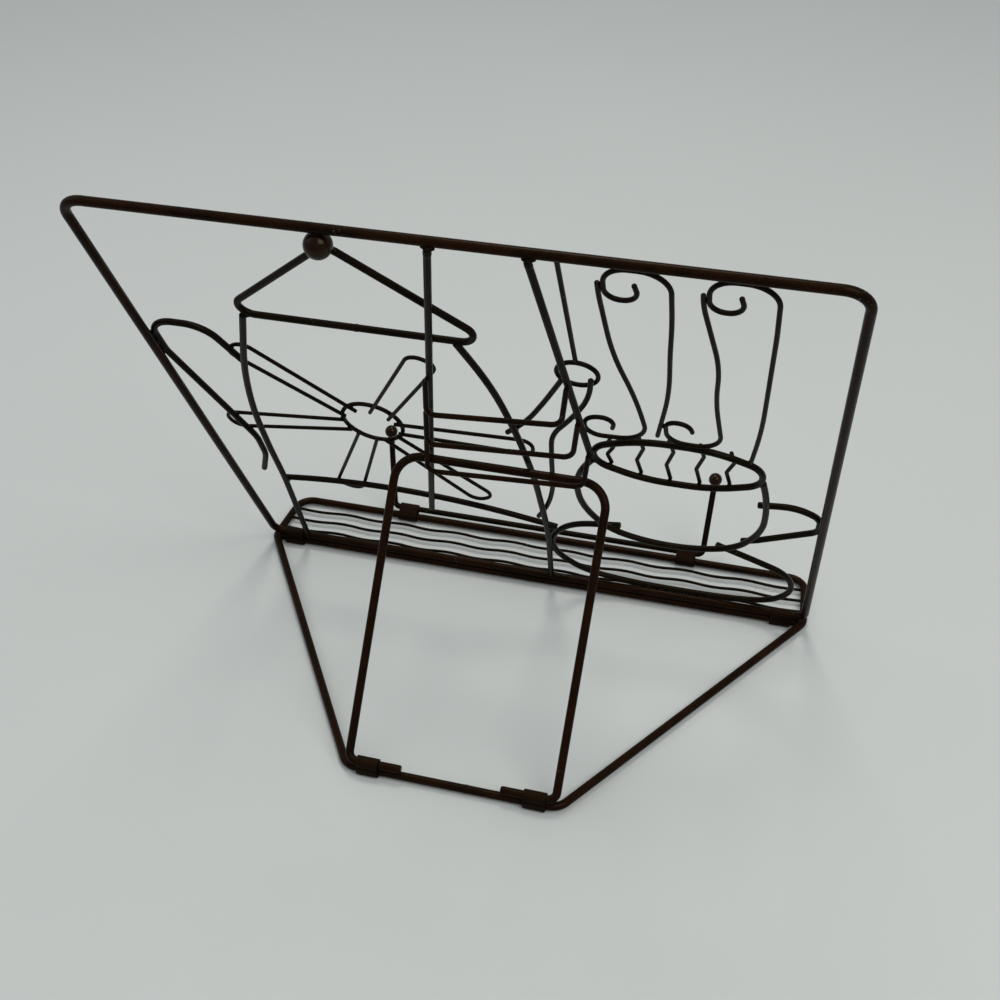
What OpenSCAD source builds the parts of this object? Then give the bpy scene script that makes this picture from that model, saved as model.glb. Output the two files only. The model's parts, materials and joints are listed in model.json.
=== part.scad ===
// Folding cookbook stand of bent and welded wire. A teapot and a steaming cup are drawn in wire on its panel.
// The reader sits on the -Y side. The prop strut and the rear bar are at +Y. Left and right are the reader's.
// The origin is on the table, below the middle of the panel's hinge line. Sizes are in millimetres.

/* [Wires] */
// Diameter of the panel, base and strut wire
frame_d = 4; // [3:0.1:5]
// Diameter of the ladder wires on the panel's back
ladder_d = 3; // [2.4:0.1:3.6]
// Diameter of the pot's and cup's main wires
figure_d = 3; // [2.4:0.1:3.6]
// Diameter of the two spout wires
spout_d = 2.4; // [1.8:0.1:3]
// Diameter of the rungs that stop the strut
rung_d = 2.4; // [1.8:0.1:3]
// Diameter of the steam, stay, spout lip and flower ring wires
fine_d = 2; // [1.5:0.1:2.6]
// Diameter of the petal wires
petal_d = 1.8; // [1.4:0.1:2.4]
// Diameter of the wave wires inside the cup's rim
wave_d = 1.8; // [1.4:0.1:2.4]
// Diameter of the wavy ledge wires
slat_d = 1.6; // [1.2:0.1:2.4]
// Diameter of the page holder's wire
holder_d = 3.2; // [2.6:0.1:4]

/* [Panel] */
// Width between the panel's side bars, on centres
panel_w = 295; // [270:1:330]
// Height between the panel's bottom and top bars, on centres
panel_h = 297; // [275:1:330]
// Lean of the open panel, from upright
panel_tilt = 27; // [20:0.5:32]
// Bend radius of the panel's top corners
panel_bend = 10; // [6:0.5:14]
// Bend radius of the panel's bottom corners, beside the straps
panel_foot_bend = 6.5; // [5:0.5:9]

/* [Base] */
// Depth from the panel's hinge to the rear bar, on centres
base_depth = 150; // [135:1:165]
// Width of the base at the hinge line
hinge_w = 295; // [270:1:330]
// Width of the rear bar
rear_w = 102; // [90:1:140]
// Depth of the book ledge in front of the hinge
ledge_depth = 35; // [28:1:55]
// Width of the ledge's front bar
ledge_w = 291; // [265:1:320]
// Bend radius of the base's corners
base_bend = 9; // [6:0.5:14]
// Side swing of the wavy ledge wires
slat_swing = 1.2; // [0.5:0.1:3]
// Length of one wave of the ledge wires
slat_wave = 32; // [20:1:44]

/* [Strut] */
// Width of the strut, on centres
strut_w = 99; // [80:1:110]
// How much shorter the strut is than the base, so that it folds down behind the panel
strut_short = 5.6; // [5.4:0.1:12]
// Sideways sway of the strut's top
strut_sway = -3; // [-4:0.5:4]
// Length of the strut's turned-in feet
foot_l = 25; // [20:0.5:34]
// Bend radius at the feet
foot_bend = 4; // [3:0.5:5]
// Bend radius of the strut's top corners
strut_bend = 12; // [8:0.5:20]

/* [Straps] */
// Width of the sheet straps
strap_w = 10.5; // [8:0.5:12]
// Sheet thickness of the straps
strap_t = 0.8; // [0.5:0.1:1.2]
// Lean of the page holder's straps over the ledge, from upright
strap_lean = 45; // [20:5:60]

/* [Page holder] */
// Distance between the two posts, on centres
holder_w = 178; // [140:1:220]
// Length of a post, from the bar to the middle of its ball
post_l = 44; // [34:1:60]
// Outward splay of the right post at its ball
right_splay = 5; // [0:0.5:12]
// Outward splay of the left post at its ball
left_splay = 1.5; // [0:0.5:12]
// Forward lean of the posts
post_lean = 20; // [10:1:30]
// Bend radius at the foot of a post
post_bend = 3.2; // [3:0.1:6]
// Diameter of the balls on the posts
ball_d = 7.2; // [6:0.1:10]
// Depth of the hole in a ball
ball_hole = 4; // [2:0.1:5]

/* [Ladder] */
// Distance of the ladder's middle from the panel's middle, at the top bar
ladder_x = -14; // [-20:0.5:-8]
// Width of the ladder at the top bar
ladder_w = 36; // [30:0.5:44]
// Angle below level at which the ladder's wires meet the back of the top bar
ladder_angle = 55; // [0:5:80]
// Upward step from rung to rung on the right
rung_step_right = 28.5; // [26:0.5:32]
// Upward step from rung to rung on the left
rung_step_left = 27.5; // [24:0.5:32]
// Rise of the bottom rung, from right to left
rung_rise = 12; // [6:0.5:14]
// Length of a rung's legs
rung_leg = 18.5; // [15:0.5:22]
// Angle of a rung's legs from the panel
rung_angle = 20; // [18:1:30]
// How far a rung draws in on the left
rung_draw = 2; // [1:0.5:6]
// Distance of a rung's right leg from the ladder wire's middle
rung_out = 1.2; // [0:0.1:1.4]
// Outward splay of a rung's right leg
rung_splay = 0.8; // [0:0.1:2]
// Bend radius of the rungs' right corners
rung_bend = 3.5; // [2.5:0.5:5]
// Bend radius of the rungs' left corners
rung_sweep = 6; // [3:0.5:8]

/* [Teapot] */
// Distance of the pot's middle from the right side bar
pot_inset = 101.5; // [90:0.5:110]
// Drop of the lid's base below the top bar
lid_drop = 66.5; // [58:0.5:76]
// Width of the lid
lid_w = 116; // [106:1:120]
// Bend radius of the lid's corners
lid_bend = 6; // [3:0.5:8]
// Reach of the pot's shoulder towards the handle
shoulder_handle = 48.5; // [44:0.5:50]
// Reach of the pot's shoulder towards the spout
shoulder_spout = 41.5; // [38:0.5:46]
// Diameter of the lid's knob
knob_d = 11; // [9:0.5:14]
// Distance of the knob's middle behind the panel's plane
knob_back = 2; // [1:0.1:2.5]
// Depth of the lid's peak below the knob's middle
knob_seat = 4; // [3:0.1:4.5]
// Reach of the pot's belly towards the handle
belly_handle = 74.5; // [70:0.5:80]
// Reach of the pot's belly towards the spout
belly_spout = 61.5; // [58:0.5:66]
// Height of the band round the pot
band_v = 68.5; // [58:0.5:74]
// Rise of the band's middle
band_rise = 14; // [6:0.5:18]
// Drop of the handle's top below the lid's base
handle_drop = 18.5; // [14:0.5:26]
// Height of the bow at the handle's upper end
handle_hook = 25; // [20:0.5:32]
// Bend radius of the handle's top
handle_bend = 20; // [14:1:24]
// Diameter of the spout's lip, on centres
lip_d = 17; // [14:0.5:22]
// Drop from the spout's lip to the foot of its upper wire
spout_l = 55; // [48:0.5:62]
// Reach of the spout's lip from the pot's middle
lip_reach = 87.5; // [84:0.5:90]
// Drop of the spout's lip below the lid's base
lip_drop = 19.5; // [15:0.5:24]

/* [Flower] */
// Distance of the flower's middle from the pot's middle
flower_x = 15.5; // [10:0.5:20]
// Drop of the flower's middle below the lid's base
flower_drop = 93.5; // [88:0.5:102]
// Width of the flower's ring, on centres
ring_w = 28.5; // [26:0.5:36]
// Height of the flower's ring, on centres
ring_h = 33; // [28:0.5:40]
// Reach of the petals from the flower's middle
petal_reach = 77; // [72:0.5:84]
// Width of a petal's tip, on centres
petal_tip = 13.5; // [9:0.5:18]
// Width of a petal at the ring, on centres
petal_root = 9; // [6:0.5:12]
// Turn of the first petal from level
petal_turn = -7; // [-15:1:5]

/* [Cup] */
// Distance of the cup's middle from the left side bar
cup_inset = 65.5; // [60:0.5:72]
// Height of the rim's middle
rim_v = 153; // [144:1:158]
// Width of the rim
rim_w = 73; // [66:0.5:80]
// Height of the rim's oval
rim_h = 36; // [28:0.5:44]
// Widest part of the bowl
bowl_w = 86; // [80:0.5:96]
// Sideways shift of the bowl towards the pot
bowl_shift = 3.5; // [0:0.5:8]
// Height of the bowl's bottom
bowl_v = 67; // [60:1:72]
// Bend radius of the cup's handle
cup_handle_bend = 10; // [7:0.5:12]
// Width of the saucer
saucer_w = 124; // [116:1:126]
// Sideways shift of the saucer towards the pot
saucer_shift = 4.5; // [2:0.5:5]
// Height of the saucer's top
saucer_h = 67; // [60:1:74]
// Distance from wave wire to wave wire
wave_step = 13; // [11:0.1:13.5]
// Distance of the first wave wire from the rim's middle
wave_x = 29.5; // [25:0.5:30]
// Side swing of the wave wires
wave_swing = 1.6; // [0.8:0.2:3]
// Bend radius of the wave wires
wave_bend = 3; // [2:0.5:5]

/* [Steam] */
// Width of a curl of steam
curl_w = 24; // [20:0.5:30]
// Distance from curl to curl
curl_step = 37; // [34:0.5:42]
// Distance of the first curl's inner side from the cup's middle
curl_x = 25; // [20:0.5:30]

/* [Clearances] */
// Gap at a weld, filled by the bead
weld_gap = 0.05; // [0.02:0.01:0.15]
// Radial play of a turning wire in its strap
strap_play = 0.08; // [0.04:0.01:0.1]
// Gap between two wires held by one strap
wire_gap = 0.3; // [0.2:0.05:0.6]
// Gap between the ledge's front bar and the page holder's bar
page_gap = 1; // [0.3:0.1:1.5]
// Gap between the strut's bar and the rung that stops it
stop_gap = 0.4; // [0.3:0.05:1]
// Distance of a strap from the bend beside it
strap_gap = 0.3; // [0.2:0.1:2]

/* [Hidden] */
$fn = 48;
// A bend is this much fatter than its wire, and each straight runs this far into it
bend_swell = 0.02;
bend_bite = 0.1;
// Bend radius of a flowing curve: its corners are as round as their neighbours leave room for
flow = 400;

// Heights of the lower wires and of the hinge axes above them
base_z = strap_t + strap_play + frame_d / 2;
hinge_z = base_z + frame_d + wire_gap;
// The strut makes an equal-sided triangle with the base as the panel folds, so it turns twice as far
strut_l = base_depth - strut_short;
strut_angle = 2 * panel_tilt;
// Where the strut's bar meets the panel: height up the panel and distance behind its plane
bar_v = (base_depth + strut_l) * sin(panel_tilt);
bar_back = strut_short * cos(panel_tilt);
// The page holder's bar beside the ledge's front bar
holder_c = frame_d / 2 + holder_d / 2 + page_gap;
holder_y = -ledge_depth - holder_c * sin(strap_lean);
holder_z = base_z + holder_c * cos(strap_lean);

// Distance across the plane at which two wires touch when they lie apart in depth
function touch(d1, d2, depth) = sqrt(pow((d1 + d2) / 2 + weld_gap, 2) - depth * depth);
// Distance in depth between two wires that cross and touch
function lap(d1, d2) = (d1 + d2) / 2 + weld_gap;

// Anchors on the panel: u runs along X, v up the panel, and z in front of its plane
side_u = panel_w / 2;
pot_u = side_u - pot_inset;
cup_u = -side_u + cup_inset;
lid_v = panel_h - lid_drop;
// Layers in front of the panel's plane
figure_z = lap(figure_d, figure_d);
spout_z = lap(figure_d, spout_d);
lip_z = spout_z + lap(spout_d, fine_d);
petal_z = figure_z + lap(figure_d, petal_d);
ring_z = petal_z + lap(petal_d, fine_d);
wave_z = lap(figure_d, wave_d);
// Wires that touch a side bar, the bottom bar or the top bar
handle_u = side_u - touch(frame_d, figure_d, figure_z);
saucer_v = touch(frame_d, figure_d, figure_z);
curl_v = panel_h - touch(frame_d, fine_d, 0);
knob_v = panel_h - touch(frame_d, knob_d, knob_back);

// The ladder's wires run from the back of the top bar down to the band and to the cup's rim
ladder_top = [0, panel_h, -ladder_d / 2]
    - (frame_d / 2 + weld_gap) * [0, sin(ladder_angle), cos(ladder_angle)];
ladder_right_top = ladder_top + [ladder_x + ladder_w / 2, 0, 0];
ladder_right_foot = [pot_u - 0.04 * belly_spout, band_v - ladder_d, figure_z - lap(figure_d, ladder_d)];
ladder_left_top = ladder_top + [ladder_x - ladder_w / 2, 0, 0];
ladder_left_rim = [cup_u + 0.507 * rim_w, rim_v + 0.14 * rim_h, -lap(figure_d, ladder_d)];
// A point on a straight wire at a given height
function at_height(a, b, v) = a + (b - a) * (v - a.y) / (b.y - a.y);
lid_z = at_height(ladder_right_top, ladder_right_foot, lid_v).z + lap(ladder_d, figure_d);
lip = [pot_u - lip_reach, lid_v - lip_drop];
flower = [pot_u + flower_x, lid_v - flower_drop];

// Each rung starts behind the ladder's wires and hooks down behind the strut's bar. Rung 0 is the one in use.
rung_off = ladder_d / 2 + weld_gap + rung_d / 2 * cos(rung_angle);
rung_back = rung_off - at_height(ladder_right_top, ladder_right_foot, bar_v).z;
rung_past = (frame_d + rung_d) / 2 + stop_gap - (rung_back - bar_back) * cos(rung_angle);
rung_v = bar_v + rung_past / sin(rung_angle);
// The ladder's left wire ends on the rim, or just below the bottom rung where that is lower
ladder_left_v = min(ladder_left_rim.y, rung_v + rung_rise - rung_d / 2);
ladder_left_foot = at_height(ladder_left_top, ladder_left_rim, ladder_left_v);

// Outlines of the pot: u in shares of the belly's reach, v in shares of the lid's height
lid_path = [
    [pot_u + lid_w / 2, lid_v],
    [pot_u, knob_v - knob_seat],
    [pot_u - lid_w / 2, lid_v]
];
function handle_side(share) = pot_u + belly_handle * share;
function spout_side(share) = pot_u - belly_spout * share;
pot_foot = handle_side(1.1);
pot_handle_path = [
    [pot_u + shoulder_handle, lid_v], [handle_side(0.84), lid_v * 0.8], [handle_side(0.94), lid_v * 0.63],
    [handle_side(0.98), lid_v * 0.465], [handle_side(1), lid_v * 0.335], [pot_foot, 0]
];
pot_spout_path = [
    [pot_u - shoulder_spout, lid_v], [spout_side(0.84), lid_v * 0.87], [spout_side(0.935), lid_v * 0.71],
    [spout_side(1), lid_v * 0.525], [spout_side(1.015), lid_v * 0.25], [spout_side(0.95), 0]
];
band_path = [
    [handle_side(1.027), band_v], [handle_side(0.14), band_v + band_rise],
    [spout_side(1.073), band_v - 0.6 * band_rise]
];
handle_path = [
    [handle_side(0.85), lid_v - handle_drop - handle_hook], [handle_side(0.985), lid_v - handle_drop],
    [handle_u, lid_v - handle_drop], [handle_u, lid_v - handle_drop - handle_hook],
    [handle_side(1.067), lid_v * 0.485], [handle_side(1.08), lid_v * 0.405], [handle_side(1.16), lid_v * 0.33]
];
spout_top_path = [
    lip + [0.35, -0.12] * lip_d, lip + [0.27, -0.4] * spout_l, lip + [0.455, -0.78] * spout_l,
    [spout_side(0.854), lip.y - spout_l]
];
spout_bottom_path = [
    lip - [0.35 * lip_d, 0], lip - [0.26 * lip_d, 0.27 * spout_l], lip + [0.09, -0.635] * spout_l,
    lip + [0.27, -0.93] * spout_l, [spout_side(1.146), lid_v * 0.585], [spout_side(1.114), lid_v * 0.455],
    [spout_side(1.04), lid_v * 0.365], [spout_side(0.943), lid_v * 0.305]
];

// Outlines of the cup: u in shares of the bowl's half width, v in shares of its depth
bowl_half = [[1.01, 0.72], [0.99, 0.36], [0.72, 0.09], [0.26, -0.01]];
bowl_u = cup_u + bowl_shift;
function bowl_height(share) = bowl_v + share * (rim_v - bowl_v);
function bowl_point(p, side) = [bowl_u + side * p.x * bowl_w / 2, bowl_height(p.y)];
bowl_end = [0.507 * rim_w, rim_v - 0.14 * rim_h];
bowl_path = concat(
    [[cup_u + bowl_end.x, bowl_end.y]],
    [for (p = bowl_half) bowl_point(p, 1)],
    [for (i = [1 : len(bowl_half)]) bowl_point(bowl_half[len(bowl_half) - i], -1)],
    [[cup_u - bowl_end.x, bowl_end.y]]
);
cup_handle_path = [
    bowl_point([0.92, 0.615], -1), bowl_point([1.29, 0.65], -1), [-handle_u, bowl_height(0.56)],
    [-handle_u, bowl_height(0.395)], bowl_point([0.93, 0.165], -1), bowl_point([0.78, 0.13], -1)
];
function saucer_side(share) = cup_u + saucer_shift + share * saucer_w / 2;
saucer_path = [
    [saucer_side(0.4), bowl_height(0.08)], [saucer_side(0.815), saucer_h],
    [saucer_side(1), saucer_h * 0.68], [saucer_side(0.975), saucer_h * 0.39],
    [saucer_side(0.75), saucer_h * 0.12], [saucer_side(0.315), saucer_v],
    [saucer_side(-0.43), saucer_v], [saucer_side(-0.815), saucer_h * 0.1],
    [saucer_side(-1), saucer_h * 0.36], [saucer_side(-0.945), saucer_h * 0.68],
    [saucer_side(-0.655), saucer_h * 0.86], [saucer_side(-0.37), bowl_height(0.02)]
];

// Wire bending
function unit(v) = v / norm(v);
// Turn of a path at a corner, in degrees, positive to the left
function turn(a, b, c) = let (p = b - a, q = c - b) atan2(p.x * q.y - p.y * q.x, p * q);
function is_end(path, i, closed) = !closed && (i == 0 || i == len(path) - 1);
// The length beside a corner that its bend may take
// It is most of a free end, or just under half of a straight between two bends
function room(path, i, j, closed) = norm(path[j] - path[i]) * (is_end(path, j, closed) ? 0.9 : 0.48);
// The length that a corner's bend takes from each straight beside it
function trim(path, bend, i, closed) =
    let (n = len(path), h = (i + n - 1) % n, j = (i + 1) % n)
    is_end(path, i, closed) ? 0 :
    let (half = abs(turn(path[h], path[i], path[j])) / 2)
    min((is_list(bend) ? bend[i] : bend) * tan(half), room(path, i, h, closed), room(path, i, j, closed));

// A straight wire between two points in space
module rod(a, b, d) {
    run = b - a;
    translate(a) rotate([0, acos(run.z / norm(run)), atan2(run.y, run.x)]) cylinder(h = norm(run), d = d);
}

// The bend at one corner of a path
module elbow(a, b, c, cut, d) {
    t = turn(a, b, c);
    bend = cut / tan(abs(t) / 2);
    heading = atan2(b.y - a.y, b.x - a.x);
    centre = b - unit(b - a) * cut + sign(t) * bend * [-sin(heading), cos(heading)];
    translate(centre)
        rotate(t > 0 ? heading - 90 : heading + 90 + t)
            rotate_extrude(angle = abs(t)) translate([bend, 0]) circle(d = d + bend_swell);
}

// A round wire bent along a flat path: straights between the bends, and a bend at each corner
module wire(path, bend, d, closed = false) {
    n = len(path);
    for (i = [0 : closed ? n - 1 : n - 2]) {
        j = (i + 1) % n;
        along = unit(path[j] - path[i]);
        bite_i = is_end(path, i, closed) ? 0 : bend_bite;
        bite_j = is_end(path, j, closed) ? 0 : bend_bite;
        start = path[i] + along * (trim(path, bend, i, closed) - bite_i);
        stop = path[j] - along * (trim(path, bend, j, closed) - bite_j);
        rod([start.x, start.y, 0], [stop.x, stop.y, 0], d);
        if (!is_end(path, j, closed))
            elbow(path[i], path[j], path[(j + 1) % n], trim(path, bend, j, closed), d);
    }
}

// Corners of an oval, for a closed wire
oval_corners = 8;
function oval(centre, w, h) = [
    for (k = [0 : oval_corners - 1])
        let (a = (k + 0.5) * 360 / oval_corners, out = 0.5 / cos(180 / oval_corners))
        centre + out * [w * cos(a), h * sin(a)]
];

// Frames of the moving groups
module on_panel(z = 0)
    translate([0, 0, hinge_z]) rotate([90 - panel_tilt, 0, 0]) translate([0, 0, z]) children();
module on_strut() translate([0, base_depth, hinge_z]) rotate([180 - strut_angle, 0, 0]) children();
module on_holder() translate([0, holder_y, holder_z]) rotate([90 + post_lean, 0, 0]) children();

// Colours of the paint: brown where it is worn and lit, nearly black in the figure
module paint() color([0.16, 0.09, 0.06]) children();
module dark_paint() color([0.11, 0.09, 0.08]) children();

// Base
base_path = [
    [rear_w / 2, base_depth], [hinge_w / 2, 0], [ledge_w / 2, -ledge_depth],
    [-ledge_w / 2, -ledge_depth], [-hinge_w / 2, 0], [-rear_w / 2, base_depth]
];
module base_wire(d) translate([0, 0, base_z]) wire(base_path, base_bend, d, closed = true);
module base_frame() paint() base_wire(frame_d);

// The cross bar's ends are cut to fit the inner half of the base's side wires
cross_end = hinge_w / 2 - 0.6 * frame_d;
module base_cross_bar() paint() difference() {
    rod([-cross_end, 0, base_z], [cross_end, 0, base_z], frame_d);
    base_wire(frame_d + 2 * weld_gap);
}

// A wavy wire across the ledge, at a share of the ledge's depth
module ledge_slat(share) {
    half = hinge_w / 2 + (ledge_w - hinge_w) / 2 * share;
    waves = floor(hinge_w / slat_wave);
    inner = [for (k = [1 : 2 * waves - 1])
        [-half + k * half / waves, -ledge_depth * share + (k % 2 == 0 ? -slat_swing : slat_swing)]];
    ends = [[-half, -ledge_depth * share], [half, -ledge_depth * share]];
    dark_paint() difference() {
        translate([0, 0, base_z]) wire(concat([ends[0]], inner, [ends[1]]), flow, slat_d);
        base_wire(frame_d + 2 * weld_gap);
    }
}
module ledge_slat_front() ledge_slat(0.75);
module ledge_slat_middle() ledge_slat(0.5);
module ledge_slat_rear() ledge_slat(0.25);

// Straps: one strip of sheet wrapped round two wires that lie side by side
module wrap(r1, r2, c) {
    s = (r1 - r2) / c;
    k = sqrt(1 - s * s);
    circle(r1);
    translate([0, c]) circle(r2);
    polygon([[r1 * k, r1 * s], [r2 * k, c + r2 * s], [-r2 * k, c + r2 * s], [-r1 * k, r1 * s]]);
}
// The first wire is at the origin and the second a distance c up, both along X
module strap(d1, d2, c) paint()
    rotate([90, 0, 90]) linear_extrude(strap_w, center = true) difference() {
        wrap(d1 / 2 + strap_play + strap_t, d2 / 2 + strap_play + strap_t, c);
        wrap(d1 / 2 + strap_play, d2 / 2 + strap_play, c);
    }
// The hinge straps lie inside the panel's corners and the base's slanting sides, and clear of the pot's foot
side_room = 1.1 * frame_d;
hinge_outer = min(panel_w / 2 - panel_foot_bend, hinge_w / 2 - side_room) - strap_gap - strap_w / 2;
pot_room = (strap_w + figure_d) / 2 + strap_gap;
hinge_x = abs(hinge_outer - pot_foot) < pot_room ? pot_foot - pot_room : hinge_outer;
module hinge_strap(side)
    translate([side * hinge_x, 0, base_z]) strap(frame_d, frame_d, hinge_z - base_z);
module strut_strap(side) {
    x = strut_w / 2 - foot_bend - strap_gap - strap_w / 2;
    translate([side * x, base_depth, base_z]) strap(frame_d, frame_d, hinge_z - base_z);
}
module page_strap(side) {
    x = holder_w / 2 - post_bend - strap_gap - strap_w / 2;
    translate([side * x, -ledge_depth, base_z]) rotate([strap_lean, 0, 0]) strap(frame_d, holder_d, holder_c);
}

// Prop strut: a wire loop with its feet turned in along the hinge axis
module prop_strut() paint() on_strut() wire(
    [[strut_w / 2 - foot_l, 0], [strut_w / 2, 0], [strut_w / 2 + strut_sway, strut_l],
     [-strut_w / 2 + strut_sway, strut_l], [-strut_w / 2, 0], [foot_l - strut_w / 2, 0]],
    [0, foot_bend, strut_bend, strut_bend, foot_bend, 0], frame_d);

// Page holder: a bar with a post at each end, and a ball on each post
function post_tip(side) = [side * holder_w / 2 + (side > 0 ? right_splay : -left_splay), post_l];
function post_along(side) = unit(post_tip(side) - [side * holder_w / 2, 0]);
// A post ends at the bottom of the hole in its ball
function hole_bottom(side) = post_tip(side) + post_along(side) * (ball_hole - ball_d / 2);
function post_end(side) = hole_bottom(side) - post_along(side) * weld_gap;
module page_holder() dark_paint() on_holder() wire(
    [post_end(1), [holder_w / 2, 0], [-holder_w / 2, 0], post_end(-1)], post_bend, holder_d);
module page_ball(side) {
    tip = post_tip(side);
    mouth = tip - post_along(side) * ball_d;
    bottom = hole_bottom(side);
    paint() on_holder() difference() {
        translate([tip.x, tip.y, 0]) sphere(d = ball_d);
        rod([mouth.x, mouth.y, 0], [bottom.x, bottom.y, 0], holder_d + 2 * weld_gap);
    }
}

// Panel frame and ladder
module panel_wire(d) wire(
    [[side_u, 0], [side_u, panel_h], [-side_u, panel_h], [-side_u, 0]],
    [panel_foot_bend, panel_bend, panel_bend, panel_foot_bend], d, closed = true);
module panel_frame() paint() on_panel() panel_wire(frame_d);
module ladder_right() dark_paint() on_panel() rod(ladder_right_top, ladder_right_foot, ladder_d);
module ladder_left() dark_paint() on_panel() rod(ladder_left_top, ladder_left_foot, ladder_d);

module rung(number) {
    right = at_height(ladder_right_top, ladder_right_foot, rung_v + number * rung_step_right);
    left = at_height(ladder_left_top, ladder_left_foot, rung_v + rung_rise + number * rung_step_left);
    across = left - right;
    span = norm(across);
    shear = rung_leg * across.y / across.x;
    paint() on_panel() translate(right - [0, 0, rung_off])
        rotate([0, -asin(across.z / span), atan2(across.y, across.x)]) rotate([-rung_angle, 0, 0])
            wire([[-rung_out, 0], [shear - rung_out - rung_splay, rung_leg],
                  [shear + span - rung_draw, rung_leg], [span, 0]], [0, rung_bend, rung_sweep, 0], rung_d);
}

// Teapot
module lid_wire(d) translate([0, 0, lid_z]) wire(lid_path, lid_bend, d, closed = true);
module pot_lid() dark_paint() on_panel() lid_wire(figure_d);
module lid_knob() paint() on_panel() difference() {
    translate([pot_u, knob_v, -knob_back]) sphere(d = knob_d);
    lid_wire(figure_d + 2 * weld_gap);
}
// The pot's sides are cut to fit under the lid and on the bottom bar
module pot_side(path) dark_paint() on_panel() difference() {
    wire(path, flow, figure_d);
    lid_wire(figure_d + 2 * weld_gap);
    panel_wire(frame_d + 2 * weld_gap);
}
module pot_side_handle() pot_side(pot_handle_path);
module pot_side_spout() pot_side(pot_spout_path);
module pot_band() dark_paint() on_panel(figure_z) wire(band_path, flow, figure_d);
module pot_handle() dark_paint() on_panel(figure_z) wire(
    handle_path, handle_bend * [0, 0.7, 0.9, 1.1, 1.5, 1.5, 0], figure_d);
module spout_top_wire() dark_paint() on_panel(spout_z) wire(spout_top_path, flow, spout_d);
module spout_bottom_wire() dark_paint() on_panel(spout_z) wire(spout_bottom_path, flow, spout_d);
module spout_lip() dark_paint() on_panel(lip_z) wire(oval(lip, lip_d, lip_d), flow, fine_d, closed = true);
module spout_stay() dark_paint() on_panel() rod(
    [lip.x, panel_h - frame_d / 2 - 2 * weld_gap, 0],
    [lip.x, lip.y + (lip_d + fine_d) / 2 + 2 * weld_gap, lip_z], fine_d);

// Flower
module flower_ring() dark_paint() on_panel(ring_z)
    wire(oval(flower, ring_w, ring_h), flow, fine_d, closed = true);
petal_count = 6;
// Each petal leans a little from its even place
module petal(number, lean) {
    root = ring_w / 2 - fine_d;
    angle = petal_turn + lean + (number - 1) * 360 / petal_count;
    dark_paint() on_panel(petal_z) translate(flower) rotate(angle)
        wire([[root, petal_root / 2], [petal_reach, petal_tip / 2], [petal_reach, -petal_tip / 2],
              [root, -petal_root / 2]], petal_tip / 2 - petal_d / 2, petal_d);
}

// Cup and saucer
module rim_wire(d) wire(oval([cup_u, rim_v], rim_w, rim_h), flow, d, closed = true);
module cup_rim() dark_paint() on_panel() rim_wire(figure_d);
module cup_bowl() dark_paint() on_panel() difference() {
    wire(bowl_path, flow, figure_d);
    rim_wire(figure_d + 2 * weld_gap);
}
module cup_handle() dark_paint() on_panel(figure_z) wire(
    cup_handle_path, cup_handle_bend * [0, 2, 1, 0.8, 1.4, 0], figure_d);
module saucer() dark_paint() on_panel(figure_z) wire(saucer_path, flow, figure_d);
// A wave wire crosses the rim's oval, and its ends lie in front of the rim
module cup_wave(number) {
    x = wave_x - (number - 1) * wave_step;
    half = rim_h / 2 * sqrt(1 - pow(2 * x / rim_w, 2));
    dark_paint() on_panel(wave_z) translate([cup_u + x, rim_v]) wire(
        [[0, half], [-wave_swing, half * 0.4], [wave_swing, -half * 0.3], [0, -half]], wave_bend, wave_d);
}

// Steam: each curl is a crook that hangs from the top bar and a tail beside it
// Its curled ends are in shares of the curl's width, its long stretch in shares of the height above the rim
rim_top = rim_v + rim_h / 2;
function steam_height(share) = rim_top + share * (curl_v - rim_top);
module steam_crook(shift, rise, foot) {
    u = cup_u + curl_x - shift;
    head = [[-0.46, -0.375], [-0.54, -0.77], [0, -0.79], [0, 0], [-1, 0], [-1, -1.25]];
    dark_paint() on_panel() wire(concat(
        [for (p = head) [u, curl_v] + p * curl_w],
        [for (p = rise) [u + p.x * curl_w, steam_height(p.y)]],
        [[u, rim_top] + foot * curl_w]), flow, fine_d);
}
module steam_tail(shift, rise, foot) {
    u = cup_u + curl_x - shift;
    side = u + fine_d + weld_gap;
    dark_paint() on_panel() wire(concat(
        [[side, curl_v - 0.4 * curl_w], [side, curl_v - 0.67 * curl_w]],
        [for (p = rise) [u + p.x * curl_w, steam_height(p.y)]],
        [for (p = foot) [u, rim_top] + p * curl_w]), flow, fine_d);
}
module steam_right_crook() steam_crook(0, [[-0.96, 0.585], [-0.93, 0.34]], [-0.71, 0.29]);
module steam_left_crook() steam_crook(curl_step, [[-0.96, 0.465], [-0.92, 0.18]], [-0.79, -0.23]);
module steam_right_tail() steam_tail(0, [[-0.04, 0.545], [-0.375, 0.285]],
    [[-0.56, 0.04], [0.58, -0.02], [0.56, 0.65], [0, 0.67], [0.08, 0.33]]);
module steam_left_tail() steam_tail(curl_step, [[-0.19, 0.545], [-0.145, 0.34]],
    [[-0.29, 0.11], [0.67, 0.11], [0.69, 0.83], [0.29, 0.83], [0.23, 0.58]]);

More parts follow.
